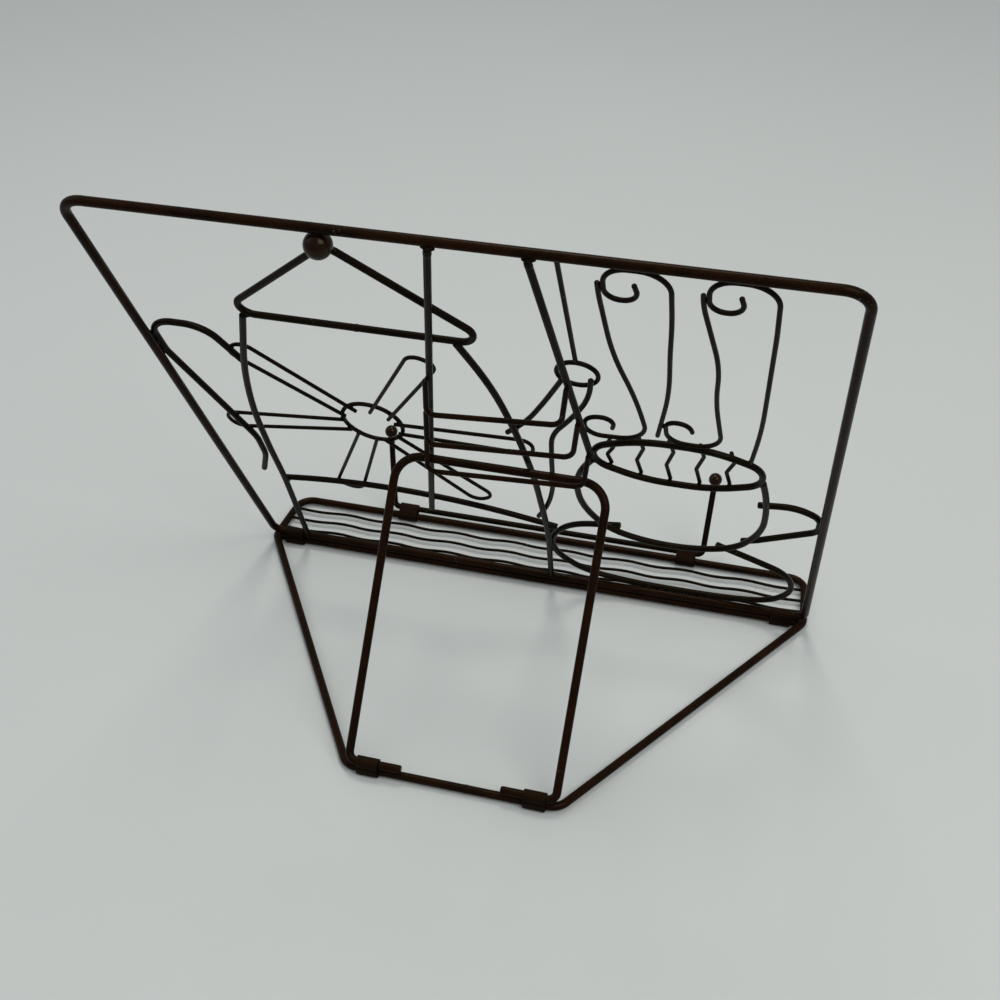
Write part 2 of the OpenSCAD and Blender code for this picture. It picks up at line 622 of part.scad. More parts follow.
base_frame();
base_cross_bar();
ledge_slat_front();
ledge_slat_middle();
ledge_slat_rear();
hinge_strap(-1);  // hinge_strap_left
hinge_strap(1);  // hinge_strap_right
strut_strap(-1);  // strut_strap_left
strut_strap(1);  // strut_strap_right
page_strap(-1);  // page_strap_left
page_strap(1);  // page_strap_right
prop_strut();
page_holder();
page_ball(-1);  // page_ball_left
page_ball(1);  // page_ball_right
panel_frame();
ladder_left();
ladder_right();
rung(0);  // rung_bottom
rung(1);  // rung_middle
rung(2);  // rung_top
pot_lid();
lid_knob();
pot_side_handle();
pot_side_spout();
pot_band();
pot_handle();
spout_top_wire();
spout_bottom_wire();
spout_lip();
spout_stay();
flower_ring();
petal(1, -4);  // petal_1
petal(2, -5);  // petal_2
petal(3, 6);  // petal_3
petal(4, 6);  // petal_4
petal(5, 0);  // petal_5
petal(6, -2);  // petal_6
cup_rim();
cup_bowl();
cup_handle();
saucer();
cup_wave(1);  // cup_wave_1
cup_wave(2);  // cup_wave_2
cup_wave(3);  // cup_wave_3
cup_wave(4);  // cup_wave_4
cup_wave(5);  // cup_wave_5
steam_left_crook();
steam_left_tail();
steam_right_crook();
steam_right_tail();
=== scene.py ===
"""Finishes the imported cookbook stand: painted wire, weld fillets, rounded wire ends, strap folds
and the stage."""

import json
import math
from functools import cache

import bmesh
import bpy
import numpy as np
from bpy.props import FloatProperty, FloatVectorProperty, PointerProperty
from mathutils import Matrix, Vector, noise
from mathutils.bvhtree import BVHTree


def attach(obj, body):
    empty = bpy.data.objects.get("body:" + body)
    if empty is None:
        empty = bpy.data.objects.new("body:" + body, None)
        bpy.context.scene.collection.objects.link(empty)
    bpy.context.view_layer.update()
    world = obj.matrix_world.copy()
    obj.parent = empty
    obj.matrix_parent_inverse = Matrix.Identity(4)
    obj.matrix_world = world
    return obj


bl_info = {
    "name": "Cookbook stand finish",
    "version": (1, 0, 0),
    "blender": (4, 5, 0),
    "location": "View3D > Sidebar > Cookbook stand",
    "description": "Paints the wire cookbook stand and adds its welds, wire ends, strap folds and stage",
    "category": "Object",
}

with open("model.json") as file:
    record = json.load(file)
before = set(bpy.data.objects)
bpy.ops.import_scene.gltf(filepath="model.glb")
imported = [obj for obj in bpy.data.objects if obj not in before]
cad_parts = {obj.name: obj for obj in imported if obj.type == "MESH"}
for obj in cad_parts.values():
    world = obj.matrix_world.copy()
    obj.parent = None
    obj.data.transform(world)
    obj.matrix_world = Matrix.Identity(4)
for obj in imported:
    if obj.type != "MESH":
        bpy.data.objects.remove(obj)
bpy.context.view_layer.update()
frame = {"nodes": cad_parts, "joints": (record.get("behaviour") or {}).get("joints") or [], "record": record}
MM = 0.001
TINY = 1e-6

JOINTS = {joint["name"]: joint for joint in frame["joints"]}
BODIES = frame["record"]["behaviour"]["bodies"]
SLOTS = {part["node"]: part["material_slot"] for part in frame["record"]["subparts"]}
STRAPS = [name for name in BODIES["base"] if "strap" in name]
PAGE_BALLS = ["page_ball_left", "page_ball_right"]
BALLS = PAGE_BALLS + ["lid_knob"]
ALONG_BARS = Vector((1, 0, 0))


# Settings

def color_setting(name, description, default):
    return FloatVectorProperty(
        name=name, description=description, subtype="COLOR", size=3, min=0.0, max=1.0, default=default
    )


def length_setting(name, description, default):
    return FloatProperty(
        name=name, description=description, subtype="DISTANCE", unit="LENGTH", min=0.0, default=default
    )


def share_setting(name, description, default):
    return FloatProperty(
        name=name, description=description, subtype="FACTOR", min=0.0, max=1.0, default=default
    )


def size_setting(name, description, default):
    return FloatProperty(name=name, description=description, min=0.2, default=default)


def level_setting(name, description, default):
    return FloatProperty(name=name, description=description, min=0.0, default=default)


def power_setting(name, description, default):
    return FloatProperty(name=name, description=description, unit="POWER", min=0.0, default=default)


class StandPaintSettings(bpy.types.PropertyGroup):
    """Colours and gloss of the stand's paint."""

    red_brown: color_setting("Red brown", "Warm patches of the frame's paint", (0.0115, 0.0033, 0.0010))
    # The olive brown is painted light: it lightens the upper sides of the wires, straps and balls as if lit
    # from above
    lit_olive_brown: color_setting("Olive brown", "Paint that faces up and has faded", (0.0150, 0.0074, 0.0027))
    near_black: color_setting("Near black", "Deepest tone of the figure's paint", (0.0017, 0.0014, 0.0007))
    figure_brown: color_setting("Figure brown", "Warm patches on the figure", (0.0050, 0.0033, 0.0016))
    strap_brown: color_setting("Strap brown", "Dull paint of the sheet straps", (0.0078, 0.0030, 0.0012))
    ball_brown: color_setting("Ball brown", "Paint of the knob and the page balls", (0.0088, 0.0023, 0.0009))
    bare_steel: color_setting("Bare steel", "Steel that shows in chips of the paint", (0.24, 0.21, 0.17))
    wire_roughness: share_setting("Wire roughness", "Roughness of the frame's painted wire", 0.27)
    figure_roughness: share_setting("Figure roughness", "Roughness of the figure's painted wire", 0.32)
    strap_roughness: share_setting("Strap roughness", "Roughness of the straps", 0.52)
    ball_roughness: share_setting("Ball roughness", "Roughness of the balls", 0.17)
    gloss: share_setting("Gloss", "Strength of the reflections on the painted wire", 0.065)
    ball_gloss: share_setting("Ball gloss", "Strength of the reflections on the balls", 0.18)
    gloss_tone: color_setting("Gloss tone", "Tone of the reflections on the paint", (1.0, 0.76, 0.56))


class StandDetailSettings(bpy.types.PropertyGroup):
    """Sizes of the welds, wire ends, strap folds and seams."""

    weld_reach: length_setting("Weld reach", "Widest gap between two welded wires", 0.3 * MM)
    weld_spread: length_setting("Weld spread", "Length of one weld along touching wires", 3.6 * MM)
    weld_size: size_setting("Weld size", "Size of a weld against the thinner wire's radius", 1.02)
    bar_weld_size: size_setting(
        "Top bar weld size", "Size of a weld under the top bar against its wire's radius", 1.08
    )
    end_round: share_setting("End rounding", "Length of a wire's rounded end against its radius", 0.34)
    lip_thickness: length_setting("Lip thickness", "Sheet thickness of the folded end of a strap", 0.35 * MM)
    collar_spread: length_setting("Collar spread", "Reach of a ball's collar from its post", 0.55 * MM)
    collar_height: length_setting("Collar height", "Half the height of a ball's collar", 0.8 * MM)
    seam_swell: length_setting("Seam swell", "How far the seam of a closed wire stands proud", 0.16 * MM)


class StandStageSettings(bpy.types.PropertyGroup):
    """Floor tones and lamp levels."""

    table_tone: color_setting("Table", "Pale table under the stand", (0.575, 0.602, 0.588))
    sky_tone: color_setting("Room light", "Soft light from all round", (0.93, 0.97, 1.0))
    sky_level: level_setting("Room level", "Strength of the room light", 0.40)
    key_power: power_setting("Key lamp", "Power of the large soft lamp", 13.0)
    fill_power: power_setting("Fill lamp", "Power of the lamp on the other side", 2.5)
    back_power: power_setting("Back lamp", "Power of the lamp on the reader's side", 7.5)


# Places on the stand

SURFACE_STEP = 0.5 * MM  # between neighbouring points on a node's surface
CELL = 0.8 * MM  # side of the small cells of space that sort the points
CELLS_PER_AXIS = 1 << 14
NEXT_WELD = 1.7  # spreads from the middle of one weld to where the next may start
FEWEST_POINTS = 6  # needed to give a wire a direction
NO_AREA = 1e-14
NORMAL_STEPS = 200  # grades of direction in which the triangles of a flat end agree
PLANE_STEP = 0.02 * MM  # grades of depth in which they agree
THINNEST_END, WIDEST_END = 0.6 * MM, 2.3 * MM
END_TOLERANCE = 0.12  # by which a flat end's area may differ from a disc's


def joint_point(name):
    return Vector(JOINTS[name]["pos_m"])


@cache
def node_triangles(name):
    """Corners of a CAD node's triangles, as an array of shape (count, 3, 3)."""
    mesh = frame["nodes"][name].data
    mesh.calc_loop_triangles()
    corners = np.empty(len(mesh.vertices) * 3, np.float32)
    mesh.vertices.foreach_get("co", corners)
    index = np.empty(len(mesh.loop_triangles) * 3, np.int32)
    mesh.loop_triangles.foreach_get("vertices", index)
    return corners.reshape(-1, 3).astype(float)[index].reshape(-1, 3, 3)


def triangle_crosses(tri):
    """Cross product of two sides of each triangle: its normal, twice as long as its area."""
    return np.cross(tri[:, 1] - tri[:, 0], tri[:, 2] - tri[:, 0])


@cache
def wire_radius(name):
    """Radius of a wire from its volume and surface: twice the one over the other."""
    tri = node_triangles(name)
    cross = triangle_crosses(tri)
    area = np.linalg.norm(cross, axis=1).sum() / 2
    volume = abs(np.einsum("ij,ij->i", tri[:, 0], cross).sum()) / 6
    return 2 * volume / area


@cache
def node_box(name):
    """Lowest and highest corner of a CAD node."""
    corners = node_triangles(name).reshape(-1, 3)
    return Vector(corners.min(0)), Vector(corners.max(0))


@cache
def surface_points(name):
    """Points along the edges of a node's triangles, close enough together to find where it touches."""
    tri = node_triangles(name)
    start = tri.reshape(-1, 3)
    stop = tri[:, [1, 2, 0]].reshape(-1, 3)
    count = np.ceil(np.linalg.norm(stop - start, axis=1) / SURFACE_STEP).astype(int) + 1
    edge = np.repeat(np.arange(len(start)), count)
    place = np.arange(count.sum()) - np.repeat(np.cumsum(count) - count, count)
    share = (place / count[edge])[:, None]
    return start[edge] * (1 - share) + stop[edge] * share


def cell_keys(cells):
    """One whole number for each small cell of space, from its three counts."""
    x, y, z = (cells + CELLS_PER_AXIS // 2).T
    return (x * CELLS_PER_AXIS + y) * CELLS_PER_AXIS + z


@cache
def surface_cells(name):
    """The cell of each surface point, and the cells on and beside the surface."""
    cells = np.floor(surface_points(name) / CELL).astype(np.int64)
    keys = cell_keys(cells)
    lone = cells[np.unique(keys, return_index=True)[1]]
    near = (-1, 0, 1)
    steps = np.array([(i, j, k) for i in near for j in near for k in near])
    around = np.unique(np.concatenate([cell_keys(lone + step) for step in steps]))
    return keys, around


@cache
def surface_tree(name):
    """A search tree over a node's triangles."""
    tri = node_triangles(name)
    corners = [Vector(corner) for corner in tri.reshape(-1, 3)]
    return BVHTree.FromPolygons(corners, [(3 * i, 3 * i + 1, 3 * i + 2) for i in range(len(tri))])


def weld_spots(first, second, reach, spread):
    """Middles of the places where two wires touch, each with the direction across the gap."""
    near = surface_points(first)[np.isin(surface_cells(first)[0], surface_cells(second)[1])]
    touching = []
    for point in near:
        found, normal = surface_tree(second).find_nearest(point, reach)[:2]
        if found is not None:
            touching.append(np.concatenate([(point + np.array(found)) / 2, np.array(normal)]))
    spots = []
    left = np.array(touching)
    while len(left):
        group = left[np.linalg.norm(left[:, :3] - left[0, :3], axis=1) < spread]
        middle = group[:, :3].mean(0)
        across = Vector(group[:, 3:].mean(0))
        spots.append((Vector(middle), across.normalized() if across.length > TINY else Vector((0, 0, 1))))
        left = left[np.linalg.norm(left[:, :3] - middle, axis=1) > NEXT_WELD * spread]
    return spots


def wire_direction(name, place, reach):
    """Main direction of a wire near a point."""
    points = surface_points(name)
    near = points[np.linalg.norm(points - np.array(place), axis=1) < reach]
    if len(near) < FEWEST_POINTS:
        return ALONG_BARS
    return Vector(np.linalg.svd(near - near.mean(0), full_matrices=False)[2][0])


@cache
def wire_ends(name):
    """Flat round ends of a wire: middle, outward direction and radius."""
    tri = node_triangles(name)
    cross = triangle_crosses(tri)
    size = np.linalg.norm(cross, axis=1)
    solid = size > NO_AREA
    tri, cross, size = tri[solid], cross[solid], size[solid]
    normal = cross / size[:, None]
    depth = np.einsum("ij,ij->i", normal, tri[:, 0])
    directions = np.round(normal * NORMAL_STEPS).astype(int)
    depths = np.round(depth / PLANE_STEP).astype(int)
    planes = {}
    for i, plane in enumerate(zip(*directions.T, depths)):
        planes.setdefault(plane, []).append(i)
    ends = []
    for members in planes.values():
        corners = tri[members].reshape(-1, 3)
        middle = (corners.max(0) + corners.min(0)) / 2
        radius = np.linalg.norm(corners - middle, axis=1).max()
        fullness = size[members].sum() / 2 / (math.pi * radius**2)
        if THINNEST_END < radius < WIDEST_END and abs(fullness - 1) < END_TOLERANCE:
            ends.append((Vector(middle), Vector(normal[members].mean(0)).normalized(), radius))
    return ends


# Mesh helpers

LUMP_GRAIN = 1.7  # how fine the unevenness of a lump of weld metal is
LUMP_SHIFT = 900.0  # moves the unevenness from lump to lump, for each metre between them
END_SIDES, END_STEPS = 32, 5
END_SUNK = 0.12  # depth of a rounded end inside its wire, in radii
END_BEVEL = 0.96  # share of a rounded end's length that its bevel takes
MERGE_DISTANCE = 1e-7


def facing(direction, along=None):
    """A rotation whose Z runs along direction, and whose X runs near along."""
    z = Vector(direction).normalized()
    x = Vector(along) if along is not None else z.orthogonal()
    x = x - z * x.dot(z)
    x = x.normalized() if x.length > TINY else z.orthogonal().normalized()
    return Matrix((x, z.cross(x), z)).transposed().to_4x4()


def add_blob(bm, middle, direction, along, radii, lump=0.0):
    """A smooth lump of metal with its own three radii."""
    made = bmesh.ops.create_icosphere(bm, subdivisions=3, radius=1.0)["verts"]
    for vert in made:
        vert.co *= 1.0 + lump * noise.noise(vert.co * LUMP_GRAIN + Vector(middle) * LUMP_SHIFT)
    place = Matrix.Translation(middle) @ facing(direction, along) @ Matrix.Diagonal((*radii, 1.0))
    bmesh.ops.transform(bm, matrix=place, verts=made)


def add_rounded_end(bm, middle, direction, radius, length):
    """The short rounded end of a cut and painted wire."""
    sunk = END_SUNK * radius
    made = bmesh.ops.create_cone(
        bm, cap_ends=True, segments=END_SIDES, radius1=radius, radius2=radius, depth=length + sunk
    )["verts"]
    edges = dict.fromkeys(edge for vert in made for edge in vert.link_edges)
    rim = [edge for edge in edges if all(vert.co.z > 0 for vert in edge.verts)]
    turned = bmesh.ops.bevel(
        bm, geom=rim, offset=length * END_BEVEL, offset_type="OFFSET", segments=END_STEPS, profile=0.5,
        affect="EDGES", material=-1,
    )["verts"]
    verts = dict.fromkeys([vert for vert in made if vert.is_valid] + turned)
    place = Matrix.Translation(Vector(middle) + Vector(direction) * (length - sunk) / 2) @ facing(direction)
    bmesh.ops.transform(bm, matrix=place, verts=list(verts))


def finish_piece(bm, name, body, material):
    """Turns a bmesh into a smooth piece that rides on a body."""
    if not bm.verts:
        raise RuntimeError(name + " has no shape")
    bmesh.ops.remove_doubles(bm, verts=bm.verts, dist=MERGE_DISTANCE)
    bmesh.ops.recalc_face_normals(bm, faces=bm.faces)
    for face in bm.faces:
        face.smooth = True
    mesh = bpy.data.meshes.new(name)
    bm.to_mesh(mesh)
    bm.free()
    piece = bpy.data.objects.new(name, mesh)
    bpy.context.scene.collection.objects.link(piece)
    mesh.materials.append(material)
    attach(piece, body)
    return piece


def repaint(names, material):
    """Gives CAD nodes their finished material."""
    for name in names:
        materials = frame["nodes"][name].data.materials
        materials.clear()
        materials.append(material)


# Materials

GRAIN_FINENESS, PEEL_FINENESS = 22.0, 9.0  # of the film's grain and orange peel, against its patches
GRAIN_HEIGHT, PEEL_HEIGHT = 0.3, 0.7  # their shares of the film's relief
UPPER_SPREAD = 0.15  # how far the painted lit upper side reaches round a wire
LEAST_LIT_TOP = 0.15  # least share of the painted lit tone on an upper side, where the grain is low
LIT_TOP_ROUGHENS = 0.08  # roughness added where the upper side is painted lit
GRAIN_SMOOTHS, GRAIN_ROUGHENS = 0.07, 0.10  # how far the grain varies the roughness down and up
RUB_STRENGTH = 0.6  # how far a rub turns the paint to its rubbed tone
RUB_GAIN, RUB_LIFT = 2.1, 0.002  # the rubbed tone against the warm tone
CHIP_DEPTH = 0.6  # of a chip, against the film's relief
RELIEF_DEPTH = 0.12 * MM


def shade(tone, share):
    """A darker form of a tone."""
    return [share * part for part in tone]


def feed(tree, socket, value):
    """Links a socket to another one, or sets its number or colour."""
    if isinstance(value, bpy.types.NodeSocket):
        tree.links.new(value, socket)
    elif socket.type == "RGBA":
        socket.default_value = (*value, 1.0)
    else:
        socket.default_value = value


def new_group(name, inputs, outputs):
    """An empty shader node group with its sockets, and its input and output nodes."""
    tree = bpy.data.node_groups.new(name, "ShaderNodeTree")
    for socket, kind, default in inputs:
        made = tree.interface.new_socket(socket, in_out="INPUT", socket_type=kind)
        if default is not None:
            made.default_value = default
    for socket in outputs:
        tree.interface.new_socket(socket, in_out="OUTPUT", socket_type="NodeSocketFloat")
    return tree, tree.nodes.new("NodeGroupInput"), tree.nodes.new("NodeGroupOutput")


def place_group(tree, group, values):
    """Puts a shader node group into a material with its own values."""
    node = tree.nodes.new("ShaderNodeGroup")
    node.node_tree = group
    for socket, value in values.items():
        feed(tree, node.inputs[socket], value)
    return node.outputs


def add_noise(tree, vector, scale, detail, roughness=0.55):
    node = tree.nodes.new("ShaderNodeTexNoise")
    for socket, value in (("Vector", vector), ("Scale", scale), ("Detail", detail), ("Roughness", roughness)):
        feed(tree, node.inputs[socket], value)
    return node.outputs["Fac"]


def add_range(tree, value, low, high, to_low=0.0, to_high=1.0):
    """Spreads the values between low and high smoothly over another range."""
    node = tree.nodes.new("ShaderNodeMapRange")
    node.interpolation_type = "SMOOTHSTEP"
    limits = (("From Min", low), ("From Max", high), ("To Min", to_low), ("To Max", to_high))
    for socket, number in (("Value", value), *limits):
        feed(tree, node.inputs[socket], number)
    return node.outputs["Result"]


def add_math(tree, operation, first, second):
    node = tree.nodes.new("ShaderNodeMath")
    node.operation = operation
    for socket, value in zip(node.inputs, (first, second)):
        feed(tree, socket, value)
    return node.outputs["Value"]


def add_mix(tree, factor, first, second):
    """Mixes two tones, each a socket or three numbers."""
    node = tree.nodes.new("ShaderNodeMix")
    node.data_type = "RGBA"
    feed(tree, node.inputs["Factor"], factor)
    tones = [socket for socket in node.inputs if socket.type == "RGBA"]
    for socket, value in zip(tones, (first, second)):
        feed(tree, socket, value)
    return next(socket for socket in node.outputs if socket.type == "RGBA")


def make_paint_film():
    """Patches, grain and thickness of a sprayed and baked coat of paint."""
    tree, start, end = new_group(
        "Paint film",
        [("Vector", "NodeSocketVector", None), ("Patch Scale", "NodeSocketFloat", 60.0)],
        ["Patches", "Grain", "Height"],
    )
    vector, scale = start.outputs["Vector"], start.outputs["Patch Scale"]
    grain_scale = add_math(tree, "MULTIPLY", scale, GRAIN_FINENESS)
    peel_scale = add_math(tree, "MULTIPLY", scale, PEEL_FINENESS)
    patches = add_range(tree, add_noise(tree, vector, scale, detail=3.0), low=0.36, high=0.64)
    grain = add_noise(tree, vector, grain_scale, detail=3.0)
    peel = add_noise(tree, vector, peel_scale, detail=1.5)
    peel_height = add_math(tree, "MULTIPLY", peel, PEEL_HEIGHT)
    grain_height = add_math(tree, "MULTIPLY", grain, GRAIN_HEIGHT)
    tree.links.new(patches, end.inputs["Patches"])
    tree.links.new(grain, end.inputs["Grain"])
    tree.links.new(add_math(tree, "ADD", peel_height, grain_height), end.inputs["Height"])
    return tree


def make_paint_chips():
    """Small chips that come in clusters, and rubs."""
    tree, start, end = new_group(
        "Paint chips",
        [("Vector", "NodeSocketVector", None), ("Amount", "NodeSocketFloat", 0.3)],
        ["Chips", "Rubs"],
    )
    vector, amount = start.outputs["Vector"], start.outputs["Amount"]
    specks = add_noise(tree, vector, scale=1150.0, detail=2.0, roughness=0.6)
    specks = add_range(tree, specks, low=0.66, high=0.71)
    clusters = add_range(tree, add_noise(tree, vector, scale=38.0, detail=2.0), low=0.56, high=0.70)
    chips = add_math(tree, "MULTIPLY", specks, clusters)
    rubs = add_noise(tree, vector, scale=210.0, detail=4.0, roughness=0.65)
    rubs = add_range(tree, rubs, low=0.54, high=0.72)
    tree.links.new(add_math(tree, "MULTIPLY", chips, amount), end.inputs["Chips"])
    tree.links.new(add_math(tree, "MULTIPLY", rubs, amount), end.inputs["Rubs"])
    return tree


def make_upper_side():
    """How far a surface faces up: where the upper side is painted lighter, as if lit from above."""
    tree, start, end = new_group("Upper side", [("Spread", "NodeSocketFloat", 0.2)], ["Facing"])
    parts = tree.nodes.new("ShaderNodeSeparateXYZ")
    tree.links.new(tree.nodes.new("ShaderNodeTexCoord").outputs["Normal"], parts.inputs["Vector"])
    lifted = add_math(tree, "ADD", parts.outputs["Z"], start.outputs["Spread"])
    tree.links.new(add_range(tree, lifted, low=0.1, high=1.0), end.inputs["Facing"])
    return tree


def shared_group(name, maker):
    return bpy.data.node_groups.get(name) or maker()


def paint_material(name, deep, warm, lit_tone, roughness, gloss, patch_scale, chips, bump, lit_share):
    """Satin paint on steel: patches of two tones, painted light on the upper sides, chips, and a fine orange
    peel.
    """
    made = bpy.data.materials.get(name)
    if made:
        return made
    paint = bpy.context.scene.stand_paint
    made = bpy.data.materials.new(name)
    made.use_nodes = True
    tree = made.node_tree
    shader = tree.nodes["Principled BSDF"]
    place = tree.nodes.new("ShaderNodeTexCoord").outputs["Object"]
    film_values = {"Vector": place, "Patch Scale": patch_scale}
    wear_values = {"Vector": place, "Amount": chips}
    film = place_group(tree, shared_group("Paint film", make_paint_film), film_values)
    wear = place_group(tree, shared_group("Paint chips", make_paint_chips), wear_values)
    upper = place_group(tree, shared_group("Upper side", make_upper_side), {"Spread": UPPER_SPREAD})

    # Painted light: the upper sides turn to the lighter olive tone as if lit from above, in a share that the
    # grain varies
    uneven = add_range(tree, film["Grain"], low=0.25, high=0.65, to_low=LEAST_LIT_TOP, to_high=lit_share)
    lit_top = add_math(tree, "MULTIPLY", upper["Facing"], uneven)
    rubbed = add_math(tree, "MULTIPLY", wear["Rubs"], RUB_STRENGTH)
    rubbed_tone = [RUB_GAIN * part + RUB_LIFT for part in warm]
    tone = add_mix(tree, film["Patches"], deep, warm)
    tone = add_mix(tree, lit_top, tone, lit_tone)
    tone = add_mix(tree, rubbed, tone, rubbed_tone)
    tone = add_mix(tree, wear["Chips"], tone, paint.bare_steel)
    tree.links.new(tone, shader.inputs["Base Color"])

    smoothest, roughest = roughness - GRAIN_SMOOTHS, roughness + GRAIN_ROUGHENS
    matt = add_range(tree, film["Grain"], low=0.2, high=0.8, to_low=smoothest, to_high=roughest)
    lit_top_matt = add_math(tree, "MULTIPLY", lit_top, LIT_TOP_ROUGHENS)
    tree.links.new(add_math(tree, "ADD", matt, lit_top_matt), shader.inputs["Roughness"])

    chip_depth = add_math(tree, "MULTIPLY", wear["Chips"], CHIP_DEPTH)
    relief = tree.nodes.new("ShaderNodeBump")
    relief.inputs["Strength"].default_value = bump
    relief.inputs["Distance"].default_value = RELIEF_DEPTH
    tree.links.new(add_math(tree, "SUBTRACT", film["Height"], chip_depth), relief.inputs["Height"])
    tree.links.new(relief.outputs["Normal"], shader.inputs["Normal"])

    shader.inputs["Specular IOR Level"].default_value = gloss
    shader.inputs["Specular Tint"].default_value = (*paint.gloss_tone, 1.0)
    return made


# In each paint below, the olive tone and its share are painted light on the upper sides
def bronze_paint():
    paint = bpy.context.scene.stand_paint
    return paint_material(
        "Bronze wire paint", deep=shade(paint.red_brown, share=0.3), warm=paint.red_brown,
        lit_tone=paint.lit_olive_brown, roughness=paint.wire_roughness, gloss=paint.gloss, patch_scale=55.0,
        chips=0.4, bump=0.35, lit_share=0.5,
    )


def dark_paint():
    paint = bpy.context.scene.stand_paint
    return paint_material(
        "Dark wire paint", deep=paint.near_black, warm=paint.figure_brown,
        lit_tone=shade(paint.lit_olive_brown, share=0.62), roughness=paint.figure_roughness, gloss=paint.gloss,
        patch_scale=70.0, chips=0.45, bump=0.35, lit_share=0.4,
    )


def strap_paint():
    paint = bpy.context.scene.stand_paint
    return paint_material(
        "Strap sheet paint", deep=shade(paint.strap_brown, share=0.55), warm=paint.strap_brown,
        lit_tone=paint.lit_olive_brown, roughness=paint.strap_roughness, gloss=paint.gloss, patch_scale=110.0,
        chips=0.6, bump=0.5, lit_share=0.5,
    )


def ball_paint():
    paint = bpy.context.scene.stand_paint
    return paint_material(
        "Ball smooth paint", deep=shade(paint.ball_brown, share=0.6), warm=paint.ball_brown,
        lit_tone=paint.lit_olive_brown, roughness=paint.ball_roughness, gloss=paint.ball_gloss, patch_scale=90.0,
        chips=0.25, bump=0.15, lit_share=0.3,
    )


WIRE_PAINTS = {"bronze_paint": bronze_paint, "dark_paint": dark_paint}


# Operators

class COOKBOOK_OT_wire(bpy.types.Operator):
    """Paint the stand's wires"""

    bl_idname = "cookbook.wire"
    bl_label = "Wire"

    def execute(self, context):
        for slot, paint in WIRE_PAINTS.items():
            repaint([name for name in frame["nodes"] if SLOTS[name] == slot], paint())
        return {"FINISHED"}


class COOKBOOK_OT_straps(bpy.types.Operator):
    """Paint the sheet straps and add the folded end of each strip"""

    bl_idname = "cookbook.straps"
    bl_label = "Straps"

    hinges = {"hinge": "panel_hinge", "strut": "strut_hinge", "page": "page_hinge"}
    width_share = 0.97
    edge_share = 0.3
    # The fold's way down the strap's rear side, in shares of its rise, and then under the bar, in degrees
    way_down = (0.52, 0.26, 0.0)
    way_under = (10, 20, 30, 40)

    def execute(self, context):
        thickness = context.scene.stand_detail.lip_thickness
        repaint(STRAPS, strap_paint())
        base_low, base_high = node_box("base_frame")
        bar_height = (base_low.z + base_high.z) / 2
        front_bar = base_low.y + (base_high.z - base_low.z) / 2
        bm = bmesh.new()
        for name in STRAPS:
            low, high = node_box(name)
            kind = name.split("_")[0]
            hinge = joint_point(self.hinges[kind])
            foot = Vector(((low.x + high.x) / 2, front_bar if kind == "page" else hinge.y, bar_height))
            rise = Vector((0, hinge.y - foot.y, hinge.z - foot.z))
            self.add_lip(bm, foot, rise, (high.x - low.x) * self.width_share, thickness)
        piece = finish_piece(bm, "strap_folds", "base", strap_paint())
        edges = piece.modifiers.new("Sheet edges", "BEVEL")
        edges.width = thickness * self.edge_share
        edges.segments = 2
        return {"FINISHED"}

    def add_lip(self, bm, foot, rise, width, thickness):
        """The strip's last stretch, which lies over its start on the rear side of the strap."""
        radius = foot.z  # the strap's outer side rests on the table
        up = rise.normalized()
        out = Vector((0, up.z, -up.y))
        turns = [math.radians(turn) for turn in self.way_under]
        path = [foot + out * radius + up * rise.length * share for share in self.way_down]
        path += [foot + (out * math.cos(turn) - up * math.sin(turn)) * radius for turn in turns]
        side = Vector((width / 2, 0, 0))
        verts = [bm.verts.new(point - side) for point in path]
        strip = [bm.edges.new(pair) for pair in zip(verts, verts[1:])]
        swept = bmesh.ops.extrude_edge_only(bm, edges=strip)["geom"]
        moved = [part for part in swept if isinstance(part, bmesh.types.BMVert)]
        faces = [part for part in swept if isinstance(part, bmesh.types.BMFace)]
        bmesh.ops.translate(bm, vec=side * 2, verts=moved)
        middle = sum((face.calc_center_median() for face in faces), Vector()) / len(faces)
        for face in faces:
            face.normal_update()
            if face.normal.dot(middle - foot) < 0:
                face.normal_flip()
        bmesh.ops.solidify(bm, geom=faces, thickness=-thickness)


class COOKBOOK_OT_balls(bpy.types.Operator):
    """Paint the knob and the page balls, and fill the joint where each post enters its ball"""

    bl_idname = "cookbook.balls"
    bl_label = "Balls"

    collar_place = 0.93  # from the ball's middle, in radii
    collar_lump = 0.04
    post_reach = 3  # radii from the ball's middle within which its post is looked for

    def execute(self, context):
        detail = context.scene.stand_detail
        repaint(BALLS, ball_paint())
        width = wire_radius("page_holder") + detail.collar_spread
        points = surface_points("page_holder")
        bm = bmesh.new()
        for name in PAGE_BALLS:
            low, high = node_box(name)
            middle = (low + high) / 2
            radius = (high.x - low.x) / 2
            near = points[np.linalg.norm(points - np.array(middle), axis=1) < self.post_reach * radius]
            down = (Vector(near.mean(0)) - middle).normalized()
            place = middle + down * radius * self.collar_place
            add_blob(bm, place, down, ALONG_BARS, (width, width, detail.collar_height), self.collar_lump)
        finish_piece(bm, "ball_collars", "page_holder", ball_paint())
        return {"FINISHED"}


